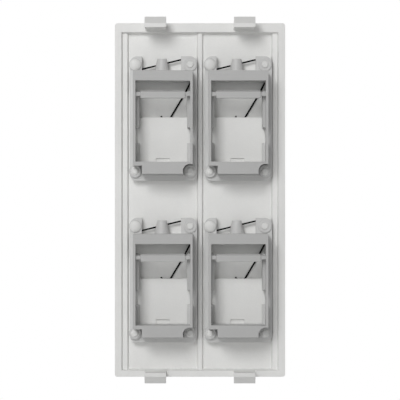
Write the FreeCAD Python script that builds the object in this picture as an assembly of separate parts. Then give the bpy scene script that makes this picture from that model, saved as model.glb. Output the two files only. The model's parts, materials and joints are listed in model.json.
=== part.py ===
"""Keystone faceplate with four shuttered ports, modelled as it stands in its frame.

+Z is up, the front face looks towards -Y and the back is +Y.  The origin is the centre of the plane of the
rear rim.  While a piece is built, Y is measured from the front face towards the back, and X and Z from the
middle of its four pegs' channel; place() then moves it to its port and to the origin.

Pieces: the faceplate moulding, and for each port a carrier that a keystone jack clips into, a sliding
shutter in front of the jack, and the torsion spring that keeps the shutter down.
"""

import FreeCAD, Part

import math
import os

from FreeCAD import Vector

# Plate moulding
PLATE_WIDTH = 52.0
PLATE_HEIGHT = 108.0
PLATE_CORNER_RADIUS = 0.8
FRONT_EDGE_RADIUS = 0.5
PANEL_THICKNESS = 2.0
STRIP_RISE = 1.1
RIM_RISE = 1.1
RIM_WIDTH = 2.0
TOP_RIM_WIDTH = 2.75
STRIP_WIDTH = 1.4
RIB_WIDTH = 2.0
WALL_SLOPE = 0.4
END_SLOPE = 0.2

# Ports and the apertures that the shutters close
ROW_INSET = 29.35
ROW_SHIFT = 0.2
APERTURE_WIDTH = 13.2
APERTURE_HEIGHT = 14.0
APERTURE_BOTTOM = -14.3
APERTURE_BEVEL = 0.4

# Snap hooks
HOOK_SPACING = 27.0
HOOK_WIDTH = 6.5
HOOK_ARM = 1.2
HOOK_INSET = 0.7
HOOK_HEIGHT = 8.0
HOOK_RAMP = 2.5
HOOK_LATCH = 0.9
HOOK_REACH = 1.5

# Pegs that pass through the carriers' ears and are staked over, with round shapes cut as flats of this count
ROUND_FLAT_COUNT = 12
PEG_INSET = 2.0
UPPER_PEG_Z = 16.45
LOWER_PEG_Z = -16.1
PEG_RADIUS = 1.0
PEG_GAP = 0.08
HEAD_RADIUS = 1.35
HEAD_TOP_RADIUS = 0.75
BROAD_HEAD_RADIUS = 1.75
BROAD_HEAD_TOP_RADIUS = 1.0
HEAD_RISE = 0.5
COIL_PEG_RADIUS = 1.15
COIL_PEG_NECK = 0.85
COIL_HEAD_RISE = 0.3

# Carrier base, which laps over the side strip and stands clear of the centre rib
BASE_LAP = 0.2
BASE_GAP = 0.4
BASE_TOP = 19.0
BASE_BOTTOM = -19.0
BASE_CORNER_RADIUS = 2.2
BASE_THICKNESS = 1.2
RECESS_DEPTH = 1.9
SKIRT_TOP = 7.5
FIT_GAP = 0.15
NOTCH_LEFT_INSET = 2.8
NOTCH_RIGHT_INSET = 2.05
UPPER_EAR_RISE = 0.5
LOWER_EAR_RISE = 1.2
EAR_RADIUS = 1.9

# Carrier chimney, which holds the jack
CHIMNEY_SHIFT = -0.2
SIDE_WALL = 0.75
OPENING_WIDTH = 16.5
CHIMNEY_RISE = 7.9
POCKET_BOTTOM = -13.35
POCKET_HEIGHT = 19.2
CATCH_BAR = 2.35
CATCH_WIDTH = 13.4
LATCH_GAP = 2.95
TOP_BAR = 3.05
BOTTOM_BAR = 3.65
BOTTOM_STEP = 0.35
BOTTOM_STEP_RISE = 4.5
CORNER_NOTCH_GAP = 0.3
CORNER_NOTCH_INSET = 2.7
CORNER_NOTCH_RISE = 1.15
JACK_WIDTH = 14.5
JACK_GAP = 0.05
RAIL_RISE = 4.6
LOWER_RAIL_RISE = 0.9
WINDOW_TOP = -2.9
WINDOW_HEIGHT = 4.6
WINDOW_RISE = 3.8
CATCH_DEPTH = 1.7
CATCH_BEVEL = 0.5
CATCH_SET_BACK = 0.3
CATCH_ARM = 1.2
CATCH_ARM_DROP = 0.5

# Half-round keeper over the spring
KEEPER_X = 0.2
KEEPER_WIDTH = 4.6
KEEPER_TIP_WIDTH = 2.9
KEEPER_LENGTH = 4.0
KEEPER_FLAT_COUNT = 10
KEEPER_GAP = 0.25

# Shutter
SHUTTER_INSET = 1.2
SHUTTER_PEG_GAP = 0.4
SHUTTER_SHOULDER = -14.5
SHUTTER_FRONT_GAP = 0.15
SHUTTER_BACK_GAP = 0.3
SHUTTER_LAP_BOTTOM = 1.15
SHUTTER_LAP_TOP = 0.25
SHUTTER_STOP_GAP = 0.2
LIP_THICKNESS = 0.65
GRIP_WIDTH = 5.7
GRIP_HEIGHT = 2.8
GRIP_WALL = 0.8
GRIP_RELIEF = 0.55
GRIP_SET_BACK = 0.3
GRIP_EDGE_RADIUS = 0.35

# Spring
WIRE = 0.5
WIRE_FLAT_COUNT = 6
WIRE_GAP = 0.2
COIL_RADIUS = 1.6
COIL_PITCH = 0.55
COIL_WHOLE_TURNS = 2
ANCHOR_RISE_DEGREES = 5.0
ANCHOR_FIRST_RUN = 2.1
ANCHOR_END_INSET = 1.1
ANCHOR_DROP = 3.35
LEG_FIRST_RUN = 2.35
LEG_MIDDLE_X = 2.1
LEG_MIDDLE_DROP = 9.55
LEG_END_X = 6.14
FOOT_RUN = 2.4
TIP_RUN = 0.4
TIP_RISE = 0.65
KNEE_RADIUS = 2.0
BOW_RADIUS = 30.0
FOOT_RADIUS = 0.5

# Levels from the front face
PANEL_BACK = PANEL_THICKNESS
STRIP_BACK = PANEL_BACK + STRIP_RISE
RIM_BACK = STRIP_BACK + RIM_RISE
BASE_FRONT = PANEL_BACK + RECESS_DEPTH
BASE_BACK = BASE_FRONT + BASE_THICKNESS
CHIMNEY_BACK = BASE_BACK + CHIMNEY_RISE
UPPER_EAR_BACK = BASE_BACK + UPPER_EAR_RISE
LOWER_EAR_BACK = BASE_BACK + LOWER_EAR_RISE
SHUTTER_FRONT = PANEL_BACK + SHUTTER_FRONT_GAP
SHUTTER_BACK = BASE_FRONT - SHUTTER_BACK_GAP
LEG_LEVEL = PANEL_BACK + WIRE_GAP + WIRE / 2
COIL_TURNS = COIL_WHOLE_TURNS + (90 - ANCHOR_RISE_DEGREES) / 360
ANCHOR_LEVEL = LEG_LEVEL + COIL_PITCH * COIL_TURNS
COIL_ROOM_BACK = ANCHOR_LEVEL + WIRE / 2 + WIRE_GAP
COIL_EAR_RADIUS = COIL_RADIUS + WIRE / 2 + WIRE_GAP

# Places across the plate and inside one port
RIM_INNER_X = PLATE_WIDTH / 2 - RIM_WIDTH
RIM_INNER_TOP = PLATE_HEIGHT / 2 - TOP_RIM_WIDTH
RIM_INNER_BOTTOM = HOOK_INSET + HOOK_ARM - PLATE_HEIGHT / 2
CHANNEL_WIDTH = RIM_INNER_X - 2 * WALL_SLOPE - STRIP_WIDTH - RIB_WIDTH / 2
COLUMN_X = (RIB_WIDTH + CHANNEL_WIDTH) / 2
ROW_PITCH = PLATE_HEIGHT - 2 * ROW_INSET
PEG_X = CHANNEL_WIDTH / 2 - PEG_INSET
BASE_LEFT = -CHANNEL_WIDTH / 2 - BASE_LAP
BASE_RIGHT = CHANNEL_WIDTH / 2 - BASE_GAP
NOTCH_LEFT = NOTCH_LEFT_INSET - PEG_X
NOTCH_RIGHT = PEG_X - NOTCH_RIGHT_INSET
SHUTTER_WIDTH = CHANNEL_WIDTH - 2 * SHUTTER_INSET
SHUTTER_FOOT_WIDTH = 2 * (PEG_X - PEG_RADIUS - SHUTTER_PEG_GAP)
ANCHOR_END_X = PEG_X - ANCHOR_END_INSET
APERTURE_TOP = APERTURE_BOTTOM + APERTURE_HEIGHT
CATCH_BOTTOM = POCKET_BOTTOM + POCKET_HEIGHT
CATCH_TOP = CATCH_BOTTOM + CATCH_BAR
OPENING_TOP = CATCH_TOP + LATCH_GAP
CHIMNEY_TOP = OPENING_TOP + TOP_BAR
CHIMNEY_BOTTOM = POCKET_BOTTOM - BOTTOM_BAR
CHIMNEY_HALF_WIDTH = OPENING_WIDTH / 2 + SIDE_WALL
RAIL_HALF_GAP = JACK_WIDTH / 2 + JACK_GAP
SHUTTER_BOTTOM = APERTURE_BOTTOM - SHUTTER_LAP_BOTTOM
SHUTTER_TOP = APERTURE_TOP + SHUTTER_LAP_TOP
SHUTTER_TRAVEL = APERTURE_HEIGHT - GRIP_HEIGHT - 2 * SHUTTER_STOP_GAP
FOOT_Z = SHUTTER_TOP + WIRE / 2

# The spring's active leg, from the coil's axis to the foot on the shutter, and the reach of its tip when open
LEG_END_DROP = UPPER_PEG_Z - FOOT_Z
LEG_REACH = math.hypot(LEG_END_X, LEG_END_DROP)
LEG_SWING = math.acos((LEG_END_DROP - SHUTTER_TRAVEL) / LEG_REACH) - math.acos(LEG_END_DROP / LEG_REACH)
TIP_X = LEG_END_X + FOOT_RUN + TIP_RUN
TIP_DROP = LEG_END_DROP - TIP_RISE
OPEN_TIP_Z = UPPER_PEG_Z + TIP_X * math.sin(LEG_SWING) - TIP_DROP * math.cos(LEG_SWING)
WIRE_ROOM_TOP = OPEN_TIP_Z + WIRE / 2 + WIRE_GAP

PORTS = {
    "upper_left": (-COLUMN_X, ROW_SHIFT + ROW_PITCH / 2),
    "upper_right": (COLUMN_X, ROW_SHIFT + ROW_PITCH / 2),
    "lower_left": (-COLUMN_X, ROW_SHIFT - ROW_PITCH / 2),
    "lower_right": (COLUMN_X, ROW_SHIFT - ROW_PITCH / 2),
}


def block(x0, x1, y0, y1, z0, z1):
    """A box between two corners."""
    return Part.makeBox(x1 - x0, y1 - y0, z1 - z0, Vector(x0, y0, z0))


def round_bar(x, z, radius, y0, y1):
    """A cylinder that runs from the front towards the back."""
    return Part.makeCylinder(radius, y1 - y0, Vector(x, y0, z), Vector(0, 1, 0))


def polygon(corners):
    """A flat face with the given corners."""
    return Part.Face(Part.makePolygon(corners + corners[:1]))


def prism(outline, y0, y1):
    """A closed outline of (x, z) points, carried from y0 to y1."""
    return polygon([Vector(x, y0, z) for x, z in outline]).extrude(Vector(0, y1 - y0, 0))


def frustum(first, last):
    """A solid between two outlines with as many corners each, and a flat side from edge to edge."""
    sides = [polygon(first), polygon(last)]
    for k in range(len(first)):
        sides.append(polygon([first[k - 1], first[k], last[k], last[k - 1]]))
    solid = Part.makeSolid(Part.makeShell(sides))
    if solid.Volume < 0:
        solid.reverse()
    return solid


def edges_along(solid, axis, test):
    """The straight edges that run along an axis and pass a test of their middle point."""
    found = []
    for edge in solid.Edges:
        if not isinstance(edge.Curve, Part.Line):
            continue
        run = edge.Vertexes[-1].Point - edge.Vertexes[0].Point
        if abs(run.normalize().dot(axis)) > 0.999 and test(edge.CenterOfMass):
            found.append(edge)
    return found


def place(solid, port=(0.0, 0.0)):
    """A copy of a finished piece at its port, with the rear rim's plane at Y = 0."""
    moved = solid.copy()
    moved.translate(Vector(port[0], -RIM_BACK, port[1]))
    return moved


def ring(x, y, z, radius, flat_count=ROUND_FLAT_COUNT):
    """The corners of equal flats round a point, square to the Y axis and on the given radius."""
    corners = []
    for k in range(flat_count):
        turn = 2 * math.pi * (k + 0.5) / flat_count
        corners.append(Vector(x + radius * math.cos(turn), y, z + radius * math.sin(turn)))
    return corners


def flatted_bar(x, z, radius, y0, y1):
    """A peg, an ear or a hole: round on the real piece, and cut as flats because there are so many."""
    return polygon(ring(x, y0, z, radius)).extrude(Vector(0, y1 - y0, 0))


def staked_head(x, y, z, radius, top_radius, rise):
    """A peg's end, melted down over the ear that it holds."""
    return frustum(ring(x, y, z, radius), ring(x, y + rise, z, top_radius))


def hook(side):
    """One snap hook at the top (side 1) or bottom (side -1) edge: an arm, a ramp and a catch face."""
    edge = PLATE_HEIGHT / 2
    outer = edge - HOOK_INSET
    inner = outer - HOOK_ARM
    tip = RIM_BACK + HOOK_HEIGHT
    nose = tip - HOOK_RAMP
    profile = [
        (PANEL_BACK, inner),
        (tip, inner),
        (tip, outer),
        (nose, edge + HOOK_REACH),
        (nose - HOOK_LATCH, edge + HOOK_REACH),
        (nose - 2 * HOOK_LATCH, outer),
        (PANEL_BACK, outer),
    ]
    points = [Vector(-HOOK_WIDTH / 2, y, side * z) for y, z in profile]
    return polygon(points).extrude(Vector(HOOK_WIDTH, 0, 0))


def pegs():
    """One port's four pegs and their staked heads; the spring's coil sits round the upper left one."""
    coil_peg = [
        round_bar(-PEG_X, UPPER_PEG_Z, COIL_PEG_RADIUS, PANEL_BACK, COIL_ROOM_BACK),
        flatted_bar(-PEG_X, UPPER_PEG_Z, COIL_PEG_NECK, COIL_ROOM_BACK, UPPER_EAR_BACK),
        staked_head(-PEG_X, UPPER_EAR_BACK, UPPER_PEG_Z, COIL_PEG_RADIUS, COIL_PEG_NECK, COIL_HEAD_RISE),
    ]
    plain = [
        flatted_bar(PEG_X, UPPER_PEG_Z, PEG_RADIUS, PANEL_BACK, UPPER_EAR_BACK),
        staked_head(PEG_X, UPPER_EAR_BACK, UPPER_PEG_Z, BROAD_HEAD_RADIUS, BROAD_HEAD_TOP_RADIUS, HEAD_RISE),
    ]
    for x in (-PEG_X, PEG_X):
        plain.append(flatted_bar(x, LOWER_PEG_Z, PEG_RADIUS, PANEL_BACK, LOWER_EAR_BACK))
        plain.append(staked_head(x, LOWER_EAR_BACK, LOWER_PEG_Z, HEAD_RADIUS, HEAD_TOP_RADIUS, HEAD_RISE))
    return coil_peg + plain


def tapered_block(x0, x1, z0, z1, y0, y1, side_grow, end_grow):
    """A block from y0 to y1 that has grown at y1, by one amount at each side and another at each end."""
    outlines = []
    for y, side, end in ((y0, 0.0, 0.0), (y1, side_grow, end_grow)):
        low = z0 - end
        high = z1 + end
        outlines.append([Vector(x, y, z) for x, z in (
            (x0 - side, low), (x1 + side, low), (x1 + side, high), (x0 - side, high)
        )])
    return frustum(*outlines)


def aperture():
    """The opening through the panel in front of one shutter, bevelled at the front face."""
    half = APERTURE_WIDTH / 2
    hole = block(-half, half, -1, PANEL_BACK + 1, APERTURE_BOTTOM, APERTURE_TOP)
    grow = APERTURE_BEVEL
    bevel = tapered_block(-half, half, APERTURE_BOTTOM, APERTURE_TOP, grow, 0, grow, grow)
    return hole.fuse(bevel)


def pockets():
    """What is hollowed out of the plate's back: the room inside the rim and the two channels, with draft."""
    bottom = RIM_INNER_BOTTOM + END_SLOPE
    top = RIM_INNER_TOP - END_SLOPE
    half = RIM_INNER_X - WALL_SLOPE
    rooms = [tapered_block(-half, half, bottom, top, STRIP_BACK, RIM_BACK, WALL_SLOPE, END_SLOPE)]
    for side in (-1, 1):
        x0 = side * COLUMN_X - CHANNEL_WIDTH / 2
        x1 = x0 + CHANNEL_WIDTH
        low = bottom + END_SLOPE
        high = top - END_SLOPE
        rooms.append(tapered_block(x0, x1, low, high, PANEL_BACK, STRIP_BACK, WALL_SLOPE, END_SLOPE))
    return rooms


def faceplate():
    """The plate moulding: panel, rim, side strips, centre rib, snap hooks, apertures and pegs."""
    half_width = PLATE_WIDTH / 2
    half_height = PLATE_HEIGHT / 2
    plate = block(-half_width, half_width, 0, RIM_BACK, -half_height, half_height)
    corners = edges_along(plate, Vector(0, 1, 0), lambda p: True)
    plate = plate.makeFillet(PLATE_CORNER_RADIUS, corners)
    front = [e for e in plate.Edges if e.BoundBox.YMax < 1e-6]
    plate = plate.makeFillet(FRONT_EDGE_RADIUS, front)
    plate = plate.cut(pockets())
    added = []
    for x in (-HOOK_SPACING / 2, HOOK_SPACING / 2):
        for side in (-1, 1):
            part = hook(side)
            part.translate(Vector(x, 0, 0))
            added.append(part)
    holes = []
    for x, z in PORTS.values():
        for peg in pegs():
            peg.translate(Vector(x, 0, z))
            added.append(peg)
        hole = aperture()
        hole.translate(Vector(x, 0, z))
        holes.append(hole)
    return plate.multiFuse(added).cut(holes).removeSplitter()


def shutter_outline(grow=0.0):
    """The shutter's outline seen from the front, larger all round by the given amount."""
    half = SHUTTER_WIDTH / 2 + grow
    foot = SHUTTER_FOOT_WIDTH / 2 + grow
    shoulder = SHUTTER_SHOULDER - grow
    bottom = SHUTTER_BOTTOM - grow
    top = SHUTTER_TOP + grow
    left = [(-half, top), (-half, shoulder), (-foot, shoulder), (-foot, bottom)]
    return left + [(-x, z) for x, z in reversed(left)]


def anchor_run():
    """The start, direction and end of the straight stretch of the spring's anchor leg, as (x, z)."""
    rise = math.radians(ANCHOR_RISE_DEGREES)
    start_x = -PEG_X - COIL_RADIUS * math.sin(rise) + ANCHOR_FIRST_RUN * math.cos(rise)
    start_z = UPPER_PEG_Z + COIL_RADIUS * math.cos(rise) + ANCHOR_FIRST_RUN * math.sin(rise)
    start = Vector(start_x, ANCHOR_LEVEL, start_z)
    end = Vector(ANCHOR_END_X, ANCHOR_LEVEL, start_z - ANCHOR_DROP)
    return start, end


def wire_rooms():
    """What is hollowed out of a carrier for its spring: the coil's room and the anchor leg's slot."""
    coil_room = block(
        BASE_LEFT - 1,
        COIL_EAR_RADIUS - PEG_X,
        PANEL_BACK - 1,
        COIL_ROOM_BACK,
        WIRE_ROOM_TOP - 1,
        UPPER_PEG_Z + COIL_EAR_RADIUS,
    )
    start, end = anchor_run()
    along = (end - start).normalize()
    across = Vector(-along.z, 0, along.x) * (WIRE / 2 + WIRE_GAP)
    first = start - along * COIL_RADIUS
    last = end + along * WIRE_GAP
    drop = Vector(0, 0, last.z - WIRE_ROOM_TOP)
    corners = [first + across, last + across, last - drop, first - drop]
    slot = prism([(p.x, p.z) for p in corners], ANCHOR_LEVEL - WIRE / 2 - WIRE_GAP, COIL_ROOM_BACK)
    return [coil_room, slot]


def carrier_base():
    """The carrier's foot: a rounded flange on skirts that guide the shutter, and four ears."""
    foot = block(BASE_LEFT, BASE_RIGHT, PANEL_BACK, BASE_BACK, BASE_BOTTOM, BASE_TOP)
    foot = foot.makeFillet(BASE_CORNER_RADIUS, edges_along(foot, Vector(0, 1, 0), lambda p: True))
    channel = CHANNEL_WIDTH / 2 - FIT_GAP
    below = PANEL_BACK - 1
    side_top = STRIP_BACK + FIT_GAP
    rooms = [
        block(BASE_LEFT - 1, -channel, below, side_top, BASE_BOTTOM - 1, BASE_TOP + 1),
        block(NOTCH_LEFT, NOTCH_RIGHT, below, BASE_BACK + 1, CHIMNEY_TOP, BASE_TOP + 1),
        block(BASE_LEFT - 1, BASE_RIGHT + 1, below, BASE_FRONT, SKIRT_TOP, WIRE_ROOM_TOP),
        prism(shutter_outline(FIT_GAP), below, BASE_FRONT),
        block(
            -SHUTTER_WIDTH / 2 - FIT_GAP, SHUTTER_WIDTH / 2 + FIT_GAP, below, BASE_FRONT, 0, WIRE_ROOM_TOP
        ),
    ]
    ears = [
        flatted_bar(PEG_X, UPPER_PEG_Z, EAR_RADIUS, BASE_FRONT, UPPER_EAR_BACK),
        flatted_bar(-PEG_X, UPPER_PEG_Z, COIL_EAR_RADIUS, BASE_FRONT, UPPER_EAR_BACK),
    ]
    for x in (-PEG_X, PEG_X):
        ears.append(flatted_bar(x, LOWER_PEG_Z, EAR_RADIUS, BASE_FRONT, LOWER_EAR_BACK))
    return foot.cut(rooms).multiFuse(ears)


def chimney():
    """The rectangular tube behind the base that a jack is pushed into, with its rails and catch bar."""
    half = CHIMNEY_HALF_WIDTH
    tube = block(-half, half, BASE_FRONT, CHIMNEY_BACK, CHIMNEY_BOTTOM, CHIMNEY_TOP)
    step_back = BASE_BACK + BOTTOM_STEP_RISE
    step = block(-half, half, BASE_FRONT, step_back, CHIMNEY_BOTTOM - BOTTOM_STEP, CHIMNEY_BOTTOM)
    inner = OPENING_WIDTH / 2
    rail = RAIL_HALF_GAP
    window_bottom = WINDOW_TOP - WINDOW_HEIGHT
    window_back = BASE_BACK + WINDOW_RISE
    below = BASE_FRONT - 1
    above = CHIMNEY_BACK + 1
    rooms = [
        block(-rail, rail, below, above, POCKET_BOTTOM, CATCH_TOP),
        block(-inner, inner, below, above, CATCH_TOP, OPENING_TOP),
        block(-inner, inner, BASE_BACK + RAIL_RISE, above, POCKET_BOTTOM, CATCH_TOP),
        block(-inner, inner, BASE_BACK + LOWER_RAIL_RISE, above, POCKET_BOTTOM, WINDOW_TOP),
        block(-inner, inner, below, above, window_bottom, WINDOW_TOP),
        block(-half - 1, half + 1, BASE_BACK, window_back, window_bottom, WINDOW_TOP),
    ]
    tube = tube.fuse(step).cut(rooms)
    bar_back = CHIMNEY_BACK - CATCH_SET_BACK
    bar_front = bar_back - CATCH_DEPTH
    bar = block(-CATCH_WIDTH / 2, CATCH_WIDTH / 2, bar_front, bar_back, CATCH_BOTTOM, CATCH_TOP)
    corner = edges_along(bar, Vector(1, 0, 0), lambda p: p.y > bar_front + 0.01 and p.z > CATCH_BOTTOM + 0.01)
    bar = bar.makeChamfer(CATCH_BEVEL, corner)
    reach = inner + SIDE_WALL / 2
    arm_top = CATCH_TOP - CATCH_BEVEL
    arm = block(-reach, reach, bar_front, bar_back - CATCH_ARM_DROP, arm_top - CATCH_ARM, arm_top)
    tube = tube.multiFuse([bar, arm])
    tube.translate(Vector(CHIMNEY_SHIFT, 0, 0))
    round_notch = flatted_bar(
        -PEG_X, LOWER_PEG_Z, EAR_RADIUS + CORNER_NOTCH_GAP, BASE_FRONT, CHIMNEY_BACK + 1
    )
    notch_x = CHIMNEY_SHIFT + half - CORNER_NOTCH_INSET
    notch_top = POCKET_BOTTOM - CORNER_NOTCH_RISE
    square_notch = block(
        notch_x, half + 1, BASE_FRONT, CHIMNEY_BACK + 1, CHIMNEY_BOTTOM - BOTTOM_STEP - 1, notch_top
    )
    return tube.cut([round_notch, square_notch])


def keeper():
    """A half-round lug above the chimney, slimmer at its end, that keeps the spring's anchor leg down."""
    under = ANCHOR_LEVEL + WIRE / 2 + KEEPER_GAP
    arches = []
    for z, width in ((CHIMNEY_TOP, KEEPER_WIDTH), (CHIMNEY_TOP + KEEPER_LENGTH, KEEPER_TIP_WIDTH)):
        corners = []
        for k in range(KEEPER_FLAT_COUNT + 1):
            turn = math.pi * k / KEEPER_FLAT_COUNT
            corners.append(Vector(KEEPER_X + width / 2 * math.cos(turn), under + width / 2 * math.sin(turn), z))
        arches.append(corners)
    return frustum(*arches)


def carrier():
    """One carrier, with room for the pegs, the coil and the spring's anchor leg."""
    solid = carrier_base().multiFuse([chimney(), keeper()])
    cuts = wire_rooms()
    cuts.append(
        flatted_bar(-PEG_X, UPPER_PEG_Z, COIL_PEG_NECK + PEG_GAP, COIL_ROOM_BACK - 1, UPPER_EAR_BACK + 1)
    )
    for x, z in ((PEG_X, UPPER_PEG_Z), (-PEG_X, LOWER_PEG_Z), (PEG_X, LOWER_PEG_Z)):
        cuts.append(flatted_bar(x, z, PEG_RADIUS + PEG_GAP, PANEL_BACK - 1, LOWER_EAR_BACK + 1))
    narrow = RAIL_HALF_GAP
    wide = OPENING_WIDTH / 2
    for half, bottom, top in (
        (narrow, POCKET_BOTTOM, CATCH_TOP),
        (wide, CATCH_TOP, OPENING_TOP),
        (wide, WINDOW_TOP - WINDOW_HEIGHT, WINDOW_TOP),
    ):
        cuts.append(
            block(CHIMNEY_SHIFT - half, CHIMNEY_SHIFT + half, PANEL_BACK - 1, BASE_BACK + 1, bottom, top)
        )
    return solid.cut(cuts).removeSplitter()


def shutter():
    """One shutter: a plate with a lip over the spring's foot and a finger ridge at its lower edge, dished behind."""
    plate = prism(shutter_outline(), SHUTTER_FRONT, SHUTTER_BACK)
    half = SHUTTER_WIDTH / 2
    lip = block(-half, half, SHUTTER_BACK - LIP_THICKNESS, SHUTTER_BACK, SHUTTER_TOP, FOOT_Z + WIRE / 2)
    bottom = APERTURE_BOTTOM + SHUTTER_STOP_GAP
    top = bottom + GRIP_HEIGHT
    grip_half = GRIP_WIDTH / 2
    ridge = block(-grip_half, grip_half, GRIP_SET_BACK, SHUTTER_BACK, bottom, top)
    ridge = ridge.makeFillet(GRIP_EDGE_RADIUS, [e for e in ridge.Edges if e.BoundBox.YMax < SHUTTER_FRONT])
    pocket = block(
        GRIP_WALL - grip_half,
        grip_half - GRIP_WALL,
        SHUTTER_BACK - GRIP_RELIEF,
        SHUTTER_BACK + 1,
        bottom + GRIP_WALL,
        top - GRIP_WALL,
    )
    return plate.multiFuse([lip, ridge]).cut(pocket).removeSplitter()


def rounded_path(points, radii):
    """Edges along straight runs between points, with an arc of the given radius at each inner point."""
    edges = []
    start = points[0]
    for before, corner, after, radius in zip(points, points[1:], points[2:], radii):
        towards = (before - corner).normalize()
        away = (after - corner).normalize()
        half_turn = (math.pi - towards.getAngle(away)) / 2
        cut_back = radius * math.tan(half_turn)
        first = corner + towards * cut_back
        last = corner + away * cut_back
        inward = (towards + away).normalize()
        middle = corner + inward * (radius / math.cos(half_turn) - radius)
        edges.append(Part.LineSegment(start, first).toShape())
        edges.append(Part.Arc(first, middle, last).toShape())
        start = last
    edges.append(Part.LineSegment(start, points[-1]).toShape())
    return edges


def spring():
    """One torsion spring: anchor leg, coil round its peg, and the active leg with its foot and tip."""
    axis = Vector(-PEG_X, 0, UPPER_PEG_Z)
    foot_z = -LEG_END_DROP
    leg = [
        Vector(TIP_X, LEG_LEVEL, -TIP_DROP),
        Vector(LEG_END_X + FOOT_RUN, LEG_LEVEL, foot_z),
        Vector(LEG_END_X, LEG_LEVEL, foot_z),
        Vector(LEG_MIDDLE_X, LEG_LEVEL, -LEG_MIDDLE_DROP),
        Vector(-COIL_RADIUS, LEG_LEVEL, -LEG_FIRST_RUN),
        Vector(-COIL_RADIUS, LEG_LEVEL, 0),
    ]
    leg_edges = rounded_path(leg, (FOOT_RADIUS, FOOT_RADIUS, BOW_RADIUS, KNEE_RADIUS))
    coil = Part.makeHelix(COIL_PITCH, COIL_PITCH * COIL_TURNS, COIL_RADIUS)
    coil.rotate(Vector(0, 0, 0), Vector(0, 0, 1), 180)
    coil.rotate(Vector(0, 0, 0), Vector(1, 0, 0), -90)
    coil.translate(Vector(0, LEG_LEVEL, 0))
    start, end = anchor_run()
    rise = math.radians(ANCHOR_RISE_DEGREES)
    coil_end = Vector(-COIL_RADIUS * math.sin(rise), ANCHOR_LEVEL, COIL_RADIUS * math.cos(rise))
    anchor_edges = rounded_path([coil_end, start - axis, end - axis], (KNEE_RADIUS,))
    path = Part.Wire(Part.sortEdges(leg_edges + coil.Edges + anchor_edges)[0])
    section = polygon(ring(0, 0, 0, WIRE / 2, WIRE_FLAT_COUNT)).OuterWire
    section.Placement = FreeCAD.Placement(leg[0], FreeCAD.Rotation(Vector(0, 1, 0), leg[1] - leg[0]))
    body = path.makePipeShell([section], True, True)
    body.translate(axis)
    return body


os.makedirs("parts", exist_ok=True)
place(faceplate()).exportStep("parts/faceplate.step")
one_carrier = carrier()
one_shutter = shutter()
one_spring = spring()
for name, port in PORTS.items():
    place(one_carrier, port).exportStep("parts/carrier_" + name + ".step")
    place(one_shutter, port).exportStep("parts/shutter_" + name + ".step")
    place(one_spring, port).exportStep("parts/spring_" + name + ".step")
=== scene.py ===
"""Shuttered keystone faceplate: looks and stage, laid out as an add-on.

Lengths are metres in the row frame: +Z is up, the back of the plate faces +Y, and the origin is the centre
of the rear rim's plane.  The faceplate and the shutters keep their solids, with soft edges and plastic
finishes.  The carriers are merged copies of their solids with rounded edges.  The four torsion springs are
drawn again as smooth wire, because the solids' wire is cut as flats.
"""

import json
import math

import bmesh
import bpy
from mathutils import Matrix, Vector

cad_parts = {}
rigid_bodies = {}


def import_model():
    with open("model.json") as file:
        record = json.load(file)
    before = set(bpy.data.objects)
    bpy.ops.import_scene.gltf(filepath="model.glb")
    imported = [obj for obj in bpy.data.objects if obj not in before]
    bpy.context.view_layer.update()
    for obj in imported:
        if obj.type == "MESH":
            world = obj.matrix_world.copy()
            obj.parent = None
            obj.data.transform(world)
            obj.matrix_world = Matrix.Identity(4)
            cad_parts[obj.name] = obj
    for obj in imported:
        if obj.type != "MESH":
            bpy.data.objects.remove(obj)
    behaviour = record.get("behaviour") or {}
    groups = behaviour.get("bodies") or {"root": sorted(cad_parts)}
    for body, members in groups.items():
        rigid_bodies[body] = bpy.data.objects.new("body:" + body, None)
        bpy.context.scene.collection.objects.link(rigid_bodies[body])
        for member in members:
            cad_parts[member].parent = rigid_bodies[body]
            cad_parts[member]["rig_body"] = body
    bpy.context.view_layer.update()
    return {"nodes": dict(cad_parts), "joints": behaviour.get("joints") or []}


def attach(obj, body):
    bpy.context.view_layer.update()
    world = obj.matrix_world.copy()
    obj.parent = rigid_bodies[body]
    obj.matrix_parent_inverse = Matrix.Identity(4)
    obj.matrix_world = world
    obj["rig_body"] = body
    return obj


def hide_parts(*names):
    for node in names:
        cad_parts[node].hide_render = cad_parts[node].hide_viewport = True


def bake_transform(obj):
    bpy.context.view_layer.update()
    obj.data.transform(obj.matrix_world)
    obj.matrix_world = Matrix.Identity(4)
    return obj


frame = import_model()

bl_info = {
    "name": "Shuttered keystone faceplate",
    "version": (1, 0, 0),
    "blender": (4, 5, 0),
    "location": "3D View > Sidebar > Faceplate",
    "description": "Finishes the mouldings of a shuttered keystone faceplate and draws its springs",
    "category": "Object",
}

MM = 0.001
PORTS = sorted(name[len("carrier_"):] for name in frame["nodes"] if name.startswith("carrier_"))
HINGES = {joint["name"]: joint for joint in frame["joints"] if joint["type"] == "hinge"}

# The springs' active leg from its tip to the coil, as (x, z) in millimetres from the hinge's axis, and the
# radii of its bends
LEG_POINTS = ((8.94, -15.6), (8.54, -16.25), (6.14, -16.25), (2.1, -9.55), (-1.6, -2.35))
LEG_BENDS = (0.5, 0.5, 30.0, 2.0)

# The turn between two rings of the wire in a bend or in the coil
RING_TURN = math.radians(12)

# The anchor leg, in millimetres: its first stretch, the radius of its bend, how far across it ends, and how
# far it falls on the way
ANCHOR_RUN = 2.1
ANCHOR_BENDS = (2.0,)
ANCHOR_END = 15.7
ANCHOR_FALL = 3.35

# Corners closer than WELD are joined, faces flatter to each other than FLAT are made one, and edges over
# SHARP are rounded
WELD = 0.001 * MM
FLAT = math.radians(0.5)
SHARP = math.radians(35)

# Edges are left as they are where they meet one shorter than this many edge radii, or at less than this
# angle, and faces larger than this area are kept flat
SLIVER_RADII = 3
SLIVER_ANGLE = math.radians(25)
FLAT_AREA = 10 * MM * MM

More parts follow.
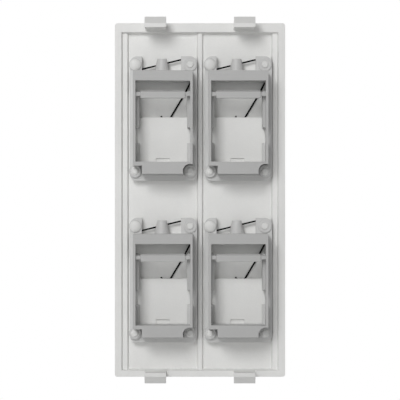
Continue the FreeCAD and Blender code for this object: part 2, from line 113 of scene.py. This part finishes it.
# The plastics' colour factor at two heights along the plate's back, as (height, factor) pairs: painted light,
# with the carriers' low parts painted paler, and painted shade, with the plate's hooks and staked heads painted
# darker than its floor
PLATE_PAINTED_SHADE = ((-0.5 * MM, 1.0), (1.0 * MM, 0.93))
CARRIER_PAINTED_LIGHT = ((1.0 * MM, 1.38), (5.0 * MM, 1.0))

# Each square lamp's place and side
LAMPS = {
    "key": ((0.18, 0.62, 0.3), 0.26),
    "level": ((0.12, 0.75, 0.05), 0.3),
    "front": ((0.5, -0.8, 0.6), 0.7),
}

# The floor's radius, the shares of it between which the floor fades to white, and how white it is nearer in
FLOOR_RADIUS = 0.5
FADE_START = 0.4
FADE_END = 0.96
FLOOR_GLOW = 0.4


class FinishSettings(bpy.types.PropertyGroup):
    """Colours and surface of the plastics and the wire."""

    plate_colour: bpy.props.FloatVectorProperty(
        name="Plate", description="Colour of the faceplate moulding", subtype="COLOR", size=3,
        default=(0.86, 0.86, 0.845), min=0.0, max=1.0,
    )
    carrier_colour: bpy.props.FloatVectorProperty(
        name="Carriers", description="Colour of the four jack carriers", subtype="COLOR", size=3,
        default=(0.475, 0.475, 0.47), min=0.0, max=1.0,
    )
    shutter_colour: bpy.props.FloatVectorProperty(
        name="Shutters", description="Colour of the four shutters", subtype="COLOR", size=3,
        default=(0.83, 0.83, 0.815), min=0.0, max=1.0,
    )
    wire_colour: bpy.props.FloatVectorProperty(
        name="Spring wire", description="Colour of the blackened spring wire", subtype="COLOR", size=3,
        default=(0.004, 0.004, 0.004), min=0.0, max=1.0,
    )
    edge_radius: bpy.props.FloatProperty(
        name="Edge softness", description="Radius left on the mouldings' edges by the mould",
        default=0.08 * MM, min=0.0, unit="LENGTH", precision=5,
    )
    grain: bpy.props.FloatProperty(
        name="Grain", description="Size of the fine texture on the mouldings",
        default=0.25 * MM, min=0.01 * MM, unit="LENGTH", precision=5,
    )


class SpringSettings(bpy.types.PropertyGroup):
    """The torsion springs' wire."""

    wire: bpy.props.FloatProperty(
        name="Wire", description="Diameter of the wire", default=0.5 * MM, min=0.1 * MM,
        unit="LENGTH", precision=5,
    )
    sides: bpy.props.IntProperty(
        name="Roundness", description="Sides of the wire's round section", default=16, min=6,
    )
    coil_radius: bpy.props.FloatProperty(
        name="Coil radius", description="From the hinge's axis to the wire's middle", default=1.6 * MM,
        min=0.5 * MM, unit="LENGTH", precision=5,
    )
    pitch: bpy.props.FloatProperty(
        name="Pitch", description="Advance of the coil in one turn", default=0.55 * MM, min=0.0,
        unit="LENGTH", precision=5,
    )
    whole_turns: bpy.props.IntProperty(
        name="Whole turns", description="Whole turns of the coil before the part turn to its anchor leg",
        default=2, min=1,
    )
    anchor_rise: bpy.props.FloatProperty(
        name="Anchor rise", description="Slope of the anchor leg's first stretch", default=math.radians(5),
        subtype="ANGLE",
    )


class StageSettings(bpy.types.PropertyGroup):
    """Camera, lamps and floor."""

    distance: bpy.props.FloatProperty(
        name="Camera distance", description="From the rear rim's plane to the camera", default=0.6,
        unit="LENGTH",
    )
    lens: bpy.props.FloatProperty(
        name="Lens", description="Focal length on a 36 mm sensor", default=176.8, unit="CAMERA",
    )
    ambient: bpy.props.FloatProperty(
        name="Ambient", description="Strength of the light from all round", default=0.2, min=0.0,
    )
    key_power: bpy.props.FloatProperty(
        name="Key", description="Power of the large lamp above the back's left", default=2.28, unit="POWER",
    )
    level_power: bpy.props.FloatProperty(
        name="Level", description="Power of the lamp straight behind the back", default=0.25, unit="POWER",
    )
    front_power: bpy.props.FloatProperty(
        name="Front", description="Power of the lamp in front of the plate", default=5.2, unit="POWER",
    )
    floor_drop: bpy.props.FloatProperty(
        name="Floor drop", description="From the plate's centre down to the floor", default=0.12,
        unit="LENGTH",
    )


def deselect_all():
    """Leaves nothing selected and nothing active."""
    if bpy.context.object and bpy.context.object.mode != "OBJECT":
        bpy.ops.object.mode_set(mode="OBJECT")
    bpy.ops.object.select_all(action="DESELECT")
    bpy.context.view_layer.objects.active = None


def new_material(name):
    """A material with an empty node tree but for the shader and its output, and a short way to add nodes."""
    material = bpy.data.materials.new(name)
    material.use_nodes = True
    tree = material.node_tree
    shader = tree.nodes["Principled BSDF"]

    def add(kind, **values):
        node = tree.nodes.new(kind)
        for key, value in values.items():
            if hasattr(node, key):
                setattr(node, key, value)
            else:
                node.inputs[key.replace("_", " ").title()].default_value = value
        return node

    return material, tree, shader, add


def noise_range(tree, add, coordinates, scale, low, high, detail=3.0):
    """Noise of a given scale on the object's coordinates, mapped to a range of values."""
    noise = add("ShaderNodeTexNoise", Scale=scale, Detail=detail, Roughness=0.6)
    tree.links.new(coordinates, noise.inputs["Vector"])
    spread = add("ShaderNodeMapRange")
    spread.inputs["From Min"].default_value = 0.3
    spread.inputs["From Max"].default_value = 0.7
    spread.inputs["To Min"].default_value = low
    spread.inputs["To Max"].default_value = high
    tree.links.new(noise.outputs["Fac"], spread.inputs["Value"])
    return spread.outputs["Result"]


def add_bump(tree, add, shader, height, strength, distance):
    """Puts a height pattern on a shader as bump."""
    bump = add("ShaderNodeBump")
    bump.inputs["Strength"].default_value = strength
    bump.inputs["Distance"].default_value = distance
    tree.links.new(height, bump.inputs["Height"])
    tree.links.new(bump.outputs["Normal"], shader.inputs["Normal"])


def vary_colour(tree, add, colour, amounts):
    """A colour made a little lighter and darker by each of some patterns in turn."""
    mixed = None
    for value in amounts:
        mix = add("ShaderNodeMix", data_type="RGBA", blend_type="MULTIPLY")
        mix.inputs[0].default_value = 1.0
        if mixed is None:
            mix.inputs[6].default_value = (*colour, 1.0)
        else:
            tree.links.new(mixed, mix.inputs[6])
        tree.links.new(value, mix.inputs[7])
        mixed = mix.outputs[2]
    return mixed


def by_height(tree, add, coordinates, low, high):
    """A factor that runs evenly between two (height, value) pairs, where height is along the plate's back."""
    split = add("ShaderNodeSeparateXYZ")
    tree.links.new(coordinates, split.inputs["Vector"])
    spread = add("ShaderNodeMapRange")
    for name, value in zip(("From Min", "To Min", "From Max", "To Max"), low + high):
        spread.inputs[name].default_value = value
    tree.links.new(split.outputs["Y"], spread.inputs["Value"])
    return spread.outputs["Result"]


def moulded_plastic(name, colour, roughness, grain, painted_shading=None):
    """Satin injection-moulded plastic: faint flow mottling, fine grain, and a gloss that is not quite even.

    Where two (height, factor) pairs are given, the colour also shifts between them, as painted light and shade.
    """
    material, tree, shader, add = new_material(name)
    coordinates = add("ShaderNodeTexCoord").outputs["Object"]
    flow = noise_range(tree, add, coordinates, 0.25 / (16 * grain), 0.965, 1.02)
    speckle = noise_range(tree, add, coordinates, 0.5 / grain, 0.985, 1.01, detail=2.0)
    amounts = [flow, speckle]
    if painted_shading:
        amounts.append(by_height(tree, add, coordinates, *painted_shading))
    tree.links.new(vary_colour(tree, add, colour, amounts), shader.inputs["Base Color"])
    gloss = noise_range(tree, add, coordinates, 0.25 / (6 * grain), roughness - 0.05, roughness + 0.06)
    tree.links.new(gloss, shader.inputs["Roughness"])
    fine = noise_range(tree, add, coordinates, 1.0 / grain, 0.0, 1.0, detail=4.0)
    add_bump(tree, add, shader, fine, 0.25, 0.04 * grain)
    shader.inputs["IOR"].default_value = 1.5
    return material


def spring_steel(name, colour):
    """Blackened spring wire with fine drawing marks and rubbed, slightly brighter patches."""
    material, tree, shader, add = new_material(name)
    coordinates = add("ShaderNodeTexCoord").outputs["Object"]
    patches = noise_range(tree, add, coordinates, 400.0, 0.7, 1.6)
    marks = noise_range(tree, add, coordinates, 6000.0, 0.85, 1.15, detail=2.0)
    tree.links.new(vary_colour(tree, add, colour, (patches, marks)), shader.inputs["Base Color"])
    gloss = noise_range(tree, add, coordinates, 900.0, 0.42, 0.6)
    tree.links.new(gloss, shader.inputs["Roughness"])
    add_bump(tree, add, shader, noise_range(tree, add, coordinates, 9000.0, 0.0, 1.0), 0.2, 0.005 * MM)
    shader.inputs["Specular IOR Level"].default_value = 0.05
    shader.inputs["IOR"].default_value = 1.3
    return material


def soften_edges(obj, radius):
    """Live modifiers that weld a moulding's facets, join its flat faces and round its edges a little."""
    weld = obj.modifiers.new("weld", "WELD")
    weld.merge_threshold = WELD
    flat = obj.modifiers.new("flat_faces", "DECIMATE")
    flat.decimate_type = "DISSOLVE"
    flat.angle_limit = FLAT
    round_off = obj.modifiers.new("edges", "BEVEL")
    round_off.width = radius
    round_off.segments = 2
    round_off.limit_method = "ANGLE"
    round_off.angle_limit = SHARP
    round_off.use_clamp_overlap = False
    round_off.harden_normals = False
    shade = obj.modifiers.new("shading", "WEIGHTED_NORMAL")
    shade.keep_sharp = True


def finish_nodes(names, material):
    """Gives CAD nodes a finish and soft edges."""
    settings = bpy.context.scene.faceplate_finish
    for name in names:
        obj = frame["nodes"][name]
        obj.data.materials.clear()
        obj.data.materials.append(material)
        deselect_all()
        obj.select_set(True)
        bpy.context.view_layer.objects.active = obj
        bpy.ops.object.shade_smooth_by_angle(angle=SHARP)
        soften_edges(obj, settings.edge_radius)


def soft_copy(node, name, material):
    """A merged copy of a CAD node with its sharp edges rounded, which takes the node's place."""
    radius = bpy.context.scene.faceplate_finish.edge_radius
    piece = bpy.data.objects.new(name, frame["nodes"][node].data.copy())
    bpy.context.collection.objects.link(piece)
    deselect_all()
    piece.select_set(True)
    bpy.context.view_layer.objects.active = piece
    bpy.ops.object.mode_set(mode="EDIT")
    bpy.ops.mesh.select_mode(type="EDGE")
    bpy.ops.mesh.select_all(action="SELECT")
    bpy.ops.mesh.remove_doubles(threshold=WELD)
    bpy.ops.mesh.dissolve_limited(angle_limit=FLAT)
    bpy.ops.mesh.select_all(action="DESELECT")
    bpy.ops.mesh.edges_select_sharp(sharpness=SHARP)
    leave_slivers(bmesh.from_edit_mesh(piece.data), SLIVER_RADII * radius, SLIVER_ANGLE)
    bpy.ops.mesh.bevel(offset=radius, offset_pct=0, segments=2, affect="EDGES", clamp_overlap=False)
    bpy.ops.mesh.select_all(action="DESELECT")
    select_outlines(bmesh.from_edit_mesh(piece.data), FLAT_AREA)
    bpy.ops.mesh.mark_sharp()
    bpy.ops.object.mode_set(mode="OBJECT")
    piece.data.materials.clear()
    piece.data.materials.append(material)
    bpy.ops.object.shade_smooth_by_angle(angle=SHARP)
    shade = piece.modifiers.new("shading", "WEIGHTED_NORMAL")
    shade.keep_sharp = True
    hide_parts(node)
    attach(piece, frame["nodes"][node]["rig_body"])


def leave_slivers(mesh, shortest, narrowest):
    """Deselects very short edges, those that meet them, and those that meet at a very narrow angle."""
    left = [edge for edge in mesh.edges if edge.calc_length() < shortest]
    for edge in mesh.edges:
        if not edge.select:
            continue
        for corner in edge.verts:
            way = edge.other_vert(corner).co - corner.co
            for other in corner.link_edges:
                if other == edge:
                    continue
                other_way = other.other_vert(corner).co - corner.co
                if other.calc_length() < shortest or way.angle(other_way) < narrowest:
                    left.append(edge)
    for edge in left:
        edge.select_set(False)


def select_outlines(mesh, smallest):
    """Selects the edges of each face that is larger than this, so that large flat faces can be kept flat."""
    for face in mesh.faces:
        if face.calc_area() > smallest:
            for edge in face.edges:
                edge.select_set(True)


class FACEPLATE_OT_plate(bpy.types.Operator):
    """Finish the faceplate moulding."""

    bl_idname = "faceplate.plate"
    bl_label = "Finish the plate"

    def execute(self, context):
        settings = context.scene.faceplate_finish
        # Painted shade: the plate's hooks and staked heads are painted darker than its floor
        plastic = moulded_plastic("plate_plastic", settings.plate_colour, 0.42, settings.grain, PLATE_PAINTED_SHADE)
        finish_nodes(["faceplate"], plastic)
        return {"FINISHED"}


class FACEPLATE_OT_carriers(bpy.types.Operator):
    """Finish the four jack carriers."""

    bl_idname = "faceplate.carriers"
    bl_label = "Finish the carriers"

    def execute(self, context):
        settings = context.scene.faceplate_finish
        colour = settings.carrier_colour
        # Painted light: the carriers' low parts near the plate are painted paler than their rims
        plastic = moulded_plastic("carrier_plastic", colour, 0.46, settings.grain, CARRIER_PAINTED_LIGHT)
        for port in PORTS:
            soft_copy("carrier_" + port, "soft_carrier_" + port, plastic)
        return {"FINISHED"}


class FACEPLATE_OT_shutters(bpy.types.Operator):
    """Finish the four shutters."""

    bl_idname = "faceplate.shutters"
    bl_label = "Finish the shutters"

    def execute(self, context):
        settings = context.scene.faceplate_finish
        plastic = moulded_plastic("shutter_plastic", settings.shutter_colour, 0.4, settings.grain)
        finish_nodes(["shutter_" + port for port in PORTS], plastic)
        return {"FINISHED"}


class FACEPLATE_OT_springs(bpy.types.Operator):
    """Draw the four torsion springs as smooth wire."""

    bl_idname = "faceplate.springs"
    bl_label = "Draw the springs"

    def execute(self, context):
        settings = context.scene.faceplate_springs
        steel = spring_steel("spring_wire", context.scene.faceplate_finish.wire_colour)
        first = draw_spring(settings, steel)
        for port in PORTS:
            wire = first.copy()
            wire.data = first.data.copy()
            context.collection.objects.link(wire)
            wire.name = "wire_" + port
            hinge = Vector(HINGES["leg_" + port]["pos_m"])
            wire.data.transform(Matrix.Translation(hinge))
            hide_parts("spring_" + port)
            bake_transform(wire)
        bpy.data.objects.remove(first)
        return {"FINISHED"}


def draw_spring(settings, steel):
    """One spring's wire about its hinge's axis, from its tip along the active leg and the coil to the anchor."""
    radius = settings.coil_radius
    rise = settings.anchor_rise
    coil_turn = 2 * math.pi * settings.whole_turns + math.pi / 2 - rise
    leg = [(x * MM, z * MM) for x, z in LEG_POINTS] + [(-radius, 0.0)]
    anchor = [(-radius * math.sin(rise), radius * math.cos(rise))]
    run = ANCHOR_RUN * MM
    anchor.append((anchor[0][0] + run * math.cos(rise), anchor[0][1] + run * math.sin(rise)))
    anchor.append((ANCHOR_END * MM, anchor[1][1] - ANCHOR_FALL * MM))
    start_wire(settings, leg)
    follow(leg, LEG_BENDS)
    wind(coil_turn, settings.pitch)
    follow(anchor, ANCHOR_BENDS)
    bpy.ops.mesh.edge_face_add()
    return finish_wire(steel)


def start_wire(settings, points):
    """The ring that the wire is drawn from, at its tip, square to its first stretch and closed."""
    (x, z), (next_x, next_z) = points[:2]
    turn = Vector((next_x - x, 0, next_z - z)).to_track_quat("Z", "Y").to_euler()
    deselect_all()
    bpy.ops.mesh.primitive_circle_add(
        vertices=settings.sides, radius=settings.wire / 2, fill_type="NGON", location=(x, 0, z), rotation=turn
    )
    bpy.ops.object.mode_set(mode="EDIT")
    bpy.ops.mesh.select_all(action="SELECT")


def run_on(across, up):
    """Draws the selected end of the wire straight on."""
    bpy.ops.mesh.extrude_region_move(TRANSFORM_OT_translate={"value": (across, 0, up)})


def follow(points, bends):
    """Draws the wire along straight stretches, with an arc of the given radius at each inner point."""
    at = Vector(points[0])
    for k, bend in enumerate(bends, start=1):
        corner = Vector(points[k])
        along = (corner - Vector(points[k - 1])).normalized()
        onward = (Vector(points[k + 1]) - corner).normalized()
        angle = math.atan2(along.x * onward.y - along.y * onward.x, along.dot(onward))
        cut_back = bend * MM * math.tan(abs(angle) / 2)
        first = corner - along * cut_back
        run_on(*(first - at))
        side = math.copysign(bend * MM, angle)
        centre = first + Vector((-along.y, along.x)) * side
        steps = max(2, round(abs(angle) / RING_TURN))
        bpy.ops.mesh.spin(steps=steps, angle=angle, center=(centre.x, 0, centre.y), axis=(0, 1, 0))
        at = corner + onward * cut_back
    run_on(*(Vector(points[-1]) - at))


def wind(turn, pitch):
    """Winds the wire round the hinge's axis, towards the plate's back, in short steps."""
    steps = round(turn / RING_TURN)
    advance = pitch * turn / steps / math.tau
    for _ in range(steps):
        bpy.ops.mesh.extrude_region_move(TRANSFORM_OT_translate={"value": (0, advance, 0)})
        bpy.ops.transform.rotate(
            value=-turn / steps, orient_axis="Y", orient_type="GLOBAL", center_override=(0, 0, 0)
        )


def finish_wire(steel):
    """Leaves edit mode and gives the wire its finish, with its place in its mesh."""
    bpy.ops.mesh.select_all(action="SELECT")
    bpy.ops.mesh.remove_doubles(threshold=WELD)
    bpy.ops.mesh.normals_make_consistent(inside=False)
    bpy.ops.object.mode_set(mode="OBJECT")
    bpy.ops.object.transform_apply(location=True, rotation=True, scale=True)
    bpy.ops.object.shade_smooth_by_angle(angle=math.radians(40))
    wire = bpy.context.object
    wire.data.materials.append(steel)
    return wire


class FACEPLATE_OT_stage(bpy.types.Operator):
    """Set up the camera, the lamps, the white surroundings and the pale floor."""

    bl_idname = "faceplate.stage"
    bl_label = "Set the stage"

    def execute(self, context):
        settings = context.scene.faceplate_stage
        deselect_all()
        add_camera(settings)
        for name, (place, side) in LAMPS.items():
            add_lamp(name, place, side, getattr(settings, name + "_power"))
        light_world(settings.ambient)
        add_floor(settings)
        context.scene.view_settings.view_transform = "Standard"
        return {"FINISHED"}


def add_camera(settings):
    """A long lens behind the plate, level with its centre."""
    bpy.ops.object.camera_add(location=(0, settings.distance, 0), rotation=(math.pi / 2, 0, math.pi))
    camera = bpy.context.object
    camera.data.sensor_width = 36.0
    camera.data.lens = settings.lens
    camera.data.clip_start = 0.01
    camera.data.clip_end = 20.0
    bpy.context.scene.camera = camera


def add_lamp(name, place, side, power):
    """A square soft lamp that faces the plate's centre."""
    turn = (-Vector(place)).to_track_quat("-Z", "Y").to_euler()
    bpy.ops.object.light_add(type="AREA", location=place, rotation=turn)
    lamp = bpy.context.object
    lamp.name = name
    lamp.data.size = side
    lamp.data.energy = power


def light_world(ambient):
    """White to the camera and in reflections, and a plain even light for the surfaces."""
    world = bpy.context.scene.world or bpy.data.worlds.new("surroundings")
    bpy.context.scene.world = world
    world.use_nodes = True
    tree = world.node_tree
    background = tree.nodes["Background"]
    background.inputs["Color"].default_value = (1, 1, 1, 1)
    path = tree.nodes.new("ShaderNodeLightPath")
    seen = seen_directly(tree, path)
    strength = tree.nodes.new("ShaderNodeMapRange")
    strength.inputs["To Min"].default_value = ambient
    strength.inputs["To Max"].default_value = 1.0
    tree.links.new(seen, strength.inputs["Value"])
    tree.links.new(strength.outputs["Result"], background.inputs["Strength"])


def seen_directly(tree, path):
    """1 for camera, glossy and transmission rays, and 0 for the rest."""
    total = path.outputs["Is Camera Ray"]
    for name in ("Is Glossy Ray", "Is Transmission Ray"):
        add = tree.nodes.new("ShaderNodeMath")
        add.operation = "MAXIMUM"
        tree.links.new(total, add.inputs[0])
        tree.links.new(path.outputs[name], add.inputs[1])
        total = add.outputs[0]
    return total


def add_floor(settings):
    """A pale disc that keeps the plate's shadow, fades to white at its rim and is clear from below."""
    bpy.ops.mesh.primitive_circle_add(
        vertices=96, radius=FLOOR_RADIUS, fill_type="NGON", location=(0, 0, -settings.floor_drop)
    )
    floor = bpy.context.object
    floor.name = "floor"
    bpy.ops.object.transform_apply(location=True)
    material, tree, shader, add = new_material("floor")
    shader.inputs["Base Color"].default_value = (0.82, 0.82, 0.82, 1)
    shader.inputs["Roughness"].default_value = 0.8
    coordinates = add("ShaderNodeTexCoord").outputs["Object"]
    reach = add("ShaderNodeVectorMath", operation="LENGTH")
    tree.links.new(coordinates, reach.inputs[0])
    fade = add("ShaderNodeMapRange", interpolation_type="SMOOTHSTEP")
    fade.inputs["From Min"].default_value = FADE_START * FLOOR_RADIUS
    fade.inputs["From Max"].default_value = FADE_END * FLOOR_RADIUS
    fade.inputs["To Min"].default_value = FLOOR_GLOW
    tree.links.new(reach.outputs["Value"], fade.inputs["Value"])
    seen = seen_directly(tree, add("ShaderNodeLightPath"))
    share = add("ShaderNodeMath", operation="MULTIPLY")
    tree.links.new(fade.outputs["Result"], share.inputs[0])
    tree.links.new(seen, share.inputs[1])
    white = add("ShaderNodeEmission")
    mix = add("ShaderNodeMixShader")
    tree.links.new(share.outputs[0], mix.inputs[0])
    tree.links.new(shader.outputs[0], mix.inputs[1])
    tree.links.new(white.outputs[0], mix.inputs[2])
    clear = add("ShaderNodeMixShader")
    tree.links.new(add("ShaderNodeNewGeometry").outputs["Backfacing"], clear.inputs[0])
    tree.links.new(mix.outputs[0], clear.inputs[1])
    tree.links.new(add("ShaderNodeBsdfTransparent").outputs[0], clear.inputs[2])
    tree.links.new(clear.outputs[0], tree.nodes["Material Output"].inputs["Surface"])
    floor.data.materials.append(material)


class FACEPLATE_PT_panel(bpy.types.Panel):
    """Sizes, colours and steps of the faceplate."""

    bl_idname = "FACEPLATE_PT_panel"
    bl_label = "Faceplate"
    bl_space_type = "VIEW_3D"
    bl_region_type = "UI"
    bl_category = "Faceplate"

    def draw(self, context):
        layout = self.layout
        for settings in SETTINGS:
            group = getattr(context.scene, settings)
            for name in group.__annotations__:
                layout.prop(group, name)
        for step in STEPS:
            layout.operator(step.bl_idname)


STEPS = (
    FACEPLATE_OT_plate,
    FACEPLATE_OT_carriers,
    FACEPLATE_OT_shutters,
    FACEPLATE_OT_springs,
    FACEPLATE_OT_stage,
)
SETTINGS = {
    "faceplate_finish": FinishSettings,
    "faceplate_springs": SpringSettings,
    "faceplate_stage": StageSettings,
}


def register():
    """Adds the settings, the steps and the panel to Blender."""
    for name, group in SETTINGS.items():
        bpy.utils.register_class(group)
        setattr(bpy.types.Scene, name, bpy.props.PointerProperty(type=group))
    for step in STEPS + (FACEPLATE_PT_panel,):
        bpy.utils.register_class(step)


def unregister():
    """Takes the panel, the steps and the settings out again."""
    for step in reversed(STEPS + (FACEPLATE_PT_panel,)):
        bpy.utils.unregister_class(step)
    for name, group in SETTINGS.items():
        delattr(bpy.types.Scene, name)
        bpy.utils.unregister_class(group)


def main():
    """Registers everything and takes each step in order."""
    register()
    bpy.ops.faceplate.plate()
    bpy.ops.faceplate.carriers()
    bpy.ops.faceplate.shutters()
    bpy.ops.faceplate.springs()
    bpy.ops.faceplate.stage()


if __name__ == "__main__":
    main()
